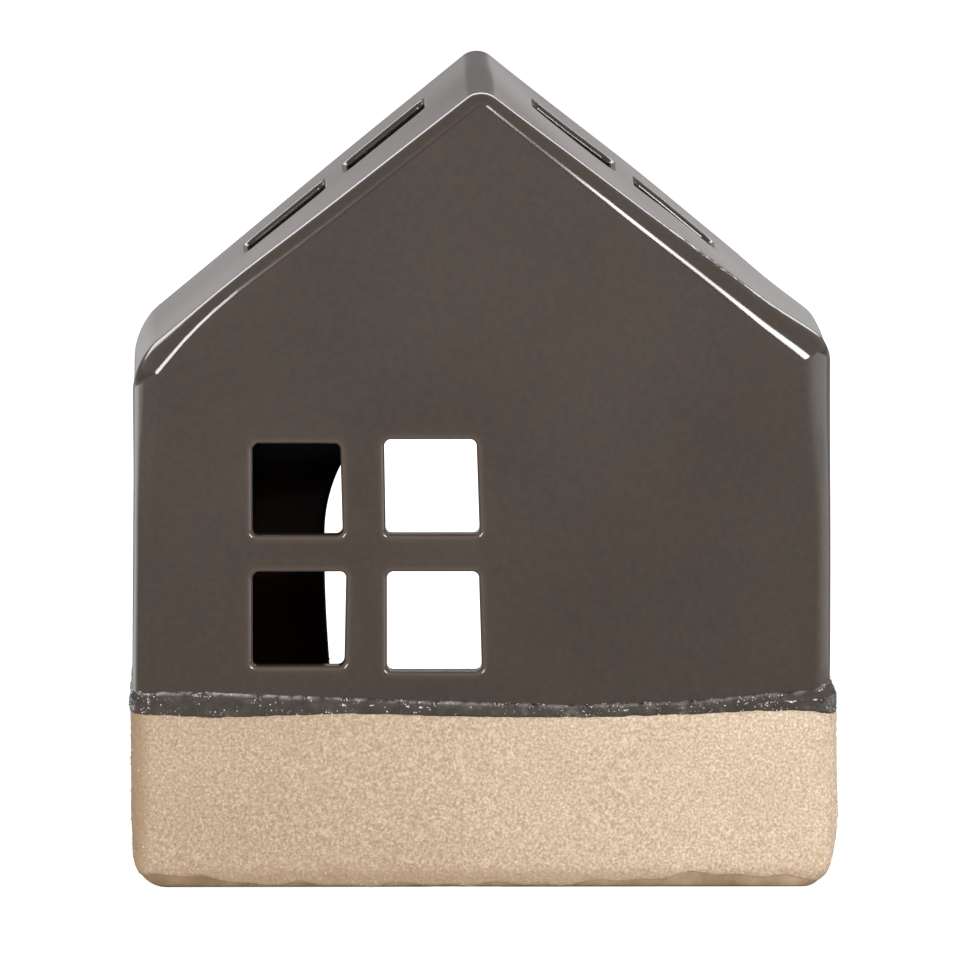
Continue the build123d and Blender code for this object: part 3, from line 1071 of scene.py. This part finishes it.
def cotton_material():
    """Braided cotton wick, waxed, with a few fibres."""
    material, tree, shader, place = new_material("cotton_braid")
    fibres = noise(tree, place, scale=5200, detail=3)
    tree.links.new(ramp(tree, fibres, cotton_stops), shader.inputs["Base Color"])
    set_finish(shader, Roughness=0.8, Sheen_Weight=0.2)
    tree.links.new(bump(tree, fibres, cotton_depth), shader.inputs["Normal"])
    return material


def make_cup():
    """The drawn foil cup: embossed bottom, pleated side and rolled rim."""
    height = cup_high[2] - cup_low[2]
    radius = cup_high[0] - cup_rim_reach
    foot, inner = radius - cup_pleat_depth, radius - cup_foil
    corner = foot - foot_rounding
    roll = (radius + cup_rim_reach - cup_roll, height - cup_roll)
    side = [side_start + (height - side_lack) * n / side_rows for n in range(side_rows + 1)]
    profile = [(0, raised_height), (raised_end, raised_height), (ring_start, 0.02), (foot - 1.0, 0)]
    profile += arc_points((corner, foot_rounding), foot_rounding, -90, 0, 6)
    profile += [(foot, shoulder_low), (radius - 0.1, shoulder_high)]
    profile += [(radius, up) for up in side]
    profile += arc_points(roll, cup_roll, -100, 180, 16)
    profile += [(inner - 0.1, roll[1] - 0.4)]
    profile += [(inner, up) for up in reversed(side)]
    profile += [(foot - cup_foil, shoulder_low)]
    profile += arc_points((corner - cup_foil, foot_rounding + cup_foil), foot_rounding, 0, -90, 6)
    raised_top = raised_height + cup_foil
    profile += [(ring_start, cup_foil), (raised_end, raised_top), (0, raised_top)]
    cup = revolved("candle_cup", profile, pleat_points * cup_pleat_count, False)
    foil = foil_material("cup_foil", foil_colour, roughness=0.2, streaks=0.05)
    values = {"Pleat Count": float(cup_pleat_count), "Pleat Depth": cup_pleat_depth * mm,
              "Side Low": pleat_low * mm, "Side High": (height - pleat_lack) * mm, "Finish": foil}
    grow_nodes(cup, pleat_tree(), values)
    shift(cup, *cup_middle, cup_low[2])
    mark(cup, "pleat", pleat_shade_marks)
    finish_piece(cup, foil, "tealight", "cup", "tealight_cup")


def make_wax():
    """The poured wax: a small meniscus, a dimple round the wick, a pocket for the tin."""
    height = wax_high[2] - wax_low[2]
    radius = wax_high[0]
    plate_top = tin_thickness + tin_gap
    plate_radius = (tin_high[0] - tin_low[0]) / 2 + tin_gap
    collar_top = tin_high[2] - tin_low[2] + tin_gap
    hole = wick_radius + tin_gap
    profile = [(plate_radius, 0), (radius - wax_cut, 0), (radius, wax_cut), (radius, height - wax_cut)]
    profile += arc_points((radius - wax_rounding, height - wax_rounding), wax_rounding, 0, 90, 5)
    profile += [(radius - inwards, height - drop) for inwards, drop in wax_edge]
    profile += [(place, height - drop) for place, drop in wax_dimple]
    profile += [(hole + beside, height - drop) for beside, drop in wax_beside_wick]
    profile += [(hole, collar_top), (collar_radius + tin_gap, collar_top)]
    profile += [(collar_radius + tin_gap, plate_top), (plate_radius, plate_top)]
    wax = revolved("candle_wax", profile, wax_points, True)
    shift(wax, *cup_middle, wax_low[2])
    finish_piece(wax, wax_material(), "candle", "wax", "tealight_wax")


def make_wick():
    """The braided wick: three strands turning about a line that leans above the wax."""
    height = wick_high[2] - wick_low[2]
    above = wax_high[2] - wax_low[2]
    bend = above + (height - above) * wick_bend_share
    around, along = wick_around, wick_along
    points, faces = [], []
    for level in range(along + 1):
        up = height * level / along
        lean = wick_lean * float(ease(up, bend - bend_below, height + bend_beyond))
        taper = end_share if level in (0, along) else 1.0
        for n in range(around):
            angle = 2 * pi * n / around
            strands = abs(cos(wick_strands / 2 * (angle - wick_turn * up)))
            radius = wick_radius * (core_share + strand_share * strands) * taper
            points.append(((lean + radius * cos(angle)) * mm, radius * sin(angle) * mm, up * mm))
    for level in range(along):
        for n in range(around):
            a, b = level * around + n, level * around + (n + 1) % around
            faces.append((a, b, b + around, a + around))
    faces.append(tuple(range(around - 1, -1, -1)))
    faces.append(tuple(along * around + n for n in range(around)))
    wick = new_piece("candle_wick", points, faces)
    shift(wick, *cup_middle, wick_low[2])
    finish_piece(wick, cotton_material(), "candle", "wick", "tealight_wick")


def make_tealight():
    """The tealight's own pieces, and the finish of its tin foot."""
    make_cup()
    make_wax()
    make_wick()
    tin = frame["nodes"]["wick_sustainer"].data
    tin.materials.clear()
    tin.materials.append(foil_material("tin_plate", tin_colour, roughness=0.28, streaks=1.0))


# Camera: the photograph's view, from a little left of the front and a little above
aim = Vector((-0.0002, -0.034, 0.06392))
camera_distance = 4.5
camera_azimuth = radians(-0.66)
camera_pitch = radians(5.9)
camera_lens, camera_sensor = 1083.3, 36
camera_nearest, camera_farthest = 0.1, 50


def make_camera():
    """The camera, aimed so that the picture's middle is the aim point."""
    back = Vector((
        sin(camera_azimuth) * cos(camera_pitch),
        -cos(camera_azimuth) * cos(camera_pitch),
        sin(camera_pitch),
    ))
    camera = bpy.data.objects.new("camera", bpy.data.cameras.new("camera"))
    camera.data.lens = camera_lens
    camera.data.sensor_width = camera_sensor
    camera.data.clip_start, camera.data.clip_end = camera_nearest, camera_farthest
    camera.location = aim + back * camera_distance
    camera.rotation_mode = "QUATERNION"
    camera.rotation_quaternion = (-back).to_track_quat("-Z", "Y")
    bpy.context.scene.collection.objects.link(camera)
    bpy.context.scene.camera = camera


def make_lamp(name, target, way, distance, size, radiance, upright=(0, 0, 1), mirrored=True,
              shape="RECTANGLE"):
    """A soft box lamp: the way to it from a target, its width and length, its brightness."""
    back = Vector(way).normalized()
    across = Vector(upright).cross(back).normalized()
    length_axis = back.cross(across)
    data = bpy.data.lights.new(name, "AREA")
    data.shape = shape
    data.size, data.size_y = size
    data.energy = pi * size[0] * size[1] * radiance * (pi / 4 if shape == "ELLIPSE" else 1)
    lamp = bpy.data.objects.new(name, data)
    lamp.matrix_world = Matrix.Translation(Vector(target) + back * distance) @ Matrix(
        (across, length_axis, back)).transposed().to_4x4()
    lamp.visible_camera = False
    lamp.visible_glossy = mirrored
    bpy.context.scene.collection.objects.link(lamp)


# Background: its brightness as light and its tint in mirrors, then what only mirror rays see: a
# darker belt above the horizon and a brighter one low at the right, each with the ranges over
# which it begins and ends, and its strength
studio_light, mirror_tint = 0.2, (1, 0.965, 0.985)
dusk_start, dusk_end, dusk_share = (0.035, 0.085), (0.24, 0.15), 0.5
dawn_start, dawn_end, dawn_top, dawn_share = (0.02, 0.09), (0.3, 0.16), (0.08, 0.03), 0.15

# Floor: half its width and its grey, then the distances over which its brightness changes and the
# brightness near and far, for the camera (with the share of it) and in mirrors
floor_reach, floor_grey = 4.0, (0.86, 0.86, 0.86, 1)
glow_reach, glow_strengths, glow_share = (0.12, 0.8), (1.36, 1.62), 0.62
white_reach, white_strengths = (0.35, 1.1), (0.8, 1.12)

# Brighter sides of the floor in mirrors: the turns in radians over which each begins and ends, its
# strength, and how far from the house both begin
right_start, right_end, right_strength = (0.35, 1.45), (2.2, 1.93), 1.9
left_start, left_end, left_strength = (-1.5, -1.98), (-2.6, -2.1), 4
sides_reach = (0.22, 0.34)

# Lamps: what each is aimed at, and the ways in which the two front boxes stand upright
right_edge, left_edge = (0.03, -0.034, 0.105), (-0.04, -0.034, 0.095)
beside_house, house_middle = (-0.2, -0.03, 0.11), (0, 0, 0.06)
right_upright, left_upright = (0.35, 0.27, 0.43), (-0.35, 0.27, 0.43)


def make_world():
    """White for the camera and in reflections, and dimmer as light."""
    world = bpy.data.worlds.new("studio")
    world.use_nodes = True
    tree = world.node_tree
    background = tree.nodes["Background"]
    rays = tree.nodes.new("ShaderNodeLightPath").outputs
    colour = blend(tree, "MIX", rays["Is Glossy Ray"], (1, 1, 1), mirror_tint)
    tree.links.new(colour, background.inputs["Color"])
    seen = maths(tree, "MAXIMUM", rays["Is Camera Ray"], rays["Is Glossy Ray"])
    seen = maths(tree, "MAXIMUM", seen, rays["Is Transmission Ray"])
    limits = {"Value": seen, "To Min": studio_light, "To Max": 1.0}
    strength = node(tree, "ShaderNodeMapRange", limits)
    way = tree.nodes.new("ShaderNodeTexCoord").outputs["Generated"]
    axes = node(tree, "ShaderNodeSeparateXYZ", {0: way}).outputs
    height, right = axes["Z"], axes["X"]
    dusk = maths(tree, "MULTIPLY", belt(tree, height, dusk_start, dusk_end), dusk_share)
    low = band(tree, height, *dawn_top)
    dawn = maths(tree, "MULTIPLY", belt(tree, right, dawn_start, dawn_end), low)
    dawn = maths(tree, "MULTIPLY", dawn, dawn_share)
    change = maths(tree, "MULTIPLY", maths(tree, "SUBTRACT", dawn, dusk), rays["Is Glossy Ray"])
    strength = maths(tree, "ADD", strength.outputs["Result"], change)
    tree.links.new(strength, background.inputs["Strength"])
    bpy.context.scene.world = world


def make_floor():
    """The pale floor, nearly white to the camera, which keeps a soft shadow under the house."""
    signs = ((-1, -1), (1, -1), (1, 1), (-1, 1))
    corners = [(x * floor_reach, y * floor_reach, 0) for x, y in signs]
    floor = new_piece("floor", corners, [(0, 1, 2, 3)])
    material, tree, shader, place = new_material("pale_floor")
    set_finish(shader, Base_Color=floor_grey, Roughness=1.0, Specular_IOR_Level=0.0)
    far = node(tree, "ShaderNodeVectorMath", {0: place}, operation="LENGTH").outputs["Value"]
    glow = band(tree, far, *glow_reach, *glow_strengths)
    glow = node(tree, "ShaderNodeEmission", {"Strength": glow})
    rays = tree.nodes.new("ShaderNodeLightPath").outputs
    share = maths(tree, "MULTIPLY", rays["Is Camera Ray"], glow_share)
    mixed = node(tree, "ShaderNodeMixShader", {0: share, 1: shader.outputs[0], 2: glow.outputs[0]})
    axes = node(tree, "ShaderNodeSeparateXYZ", {0: place}).outputs
    turn = maths(tree, "ARCTAN2", axes["X"], maths(tree, "MULTIPLY", axes["Y"], -1.0))
    right = belt(tree, turn, right_start, right_end, right_strength)
    left = belt(tree, turn, left_start, left_end, left_strength)
    sides = maths(tree, "MULTIPLY", maths(tree, "ADD", right, left), band(tree, far, *sides_reach))
    white = maths(tree, "ADD", sides, band(tree, far, *white_reach, *white_strengths))
    white = node(tree, "ShaderNodeEmission", {"Strength": white})
    mirrored = maths(tree, "MAXIMUM", rays["Is Glossy Ray"], rays["Is Transmission Ray"])
    mixed = node(tree, "ShaderNodeMixShader", {0: mirrored, 1: mixed.outputs[0], 2: white.outputs[0]})
    tree.links.new(mixed.outputs[0], tree.nodes["Material Output"].inputs["Surface"])
    floor.data.materials.append(material)


def make_studio():
    """The floor, the background and the soft lamps."""
    make_world()
    make_floor()
    make_lamp("right_box", right_edge, way=(0.392, -0.89, 0.242), distance=1.2, size=(0.28, 0.46),
              radiance=29, upright=right_upright, shape="ELLIPSE")
    make_lamp("left_box", left_edge, way=(-0.4245, -0.882, 0.2045), distance=1.2, size=(0.31, 0.4),
              radiance=22, upright=left_upright)
    make_lamp("back_strip", beside_house, way=(0, 0.87, 0.5), distance=1.1, size=(1.6, 0.52),
              radiance=7)
    for name, way, radiance in (("right_fill", (1, 0.1, 0.3), 4), ("left_fill", (-1, 0.1, 0.3), 3)):
        make_lamp(name, house_middle, way, distance=1.1, size=(0.5, 0.6), radiance=radiance,
                  mirrored=False)


bpy.context.scene.view_settings.view_transform = "Standard"
make_camera()
make_studio()
make_house()
make_tealight()
